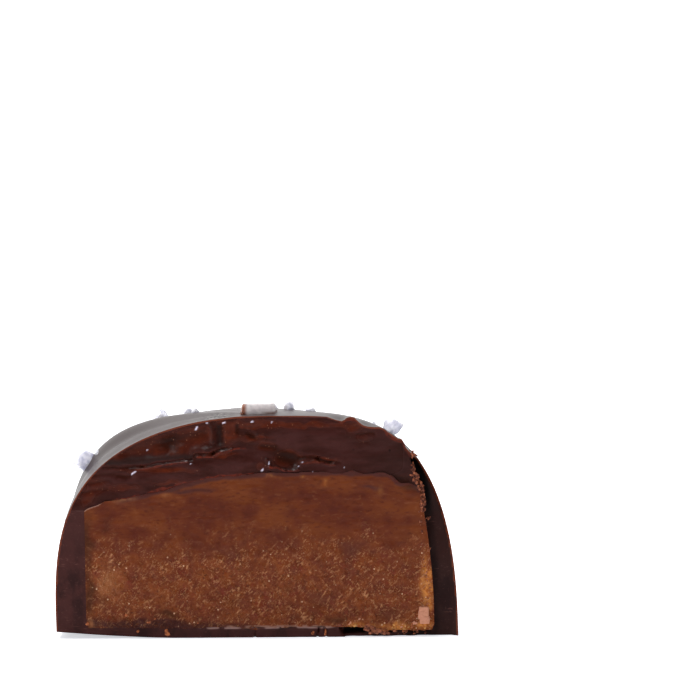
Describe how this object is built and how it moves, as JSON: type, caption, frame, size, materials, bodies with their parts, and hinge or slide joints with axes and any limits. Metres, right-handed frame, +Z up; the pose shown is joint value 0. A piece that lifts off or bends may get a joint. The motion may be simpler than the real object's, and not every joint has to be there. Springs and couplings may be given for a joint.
{
  "type": "salted caramel candy",
  "caption": "Half of a round chocolate candy, cut to show caramel under dark ganache, with coarse salt on its coat.",
  "frame": {"origin": "on the surface the candy stands on, under the middle of the half's box", "axes": "-Y faces the viewer of the cut, +X to the right along the cut, +Z up"},
  "size_m": [0.034, 0.0173, 0.0199],
  "materials": {
    "dark_chocolate": "moulded dark chocolate with a soft sheen, matte where it was cut",
    "ganache": "glossy dark chocolate cream, dragged into folds by the knife",
    "caramel": "soft brown caramel, smooth on top and sugary below",
    "salt": "clouded translucent salt crystals"
  },
  "bodies": {
    "root": {"shell": "dark_chocolate", "ganache": "ganache", "caramel": "caramel"}
  },
  "joints": []
}
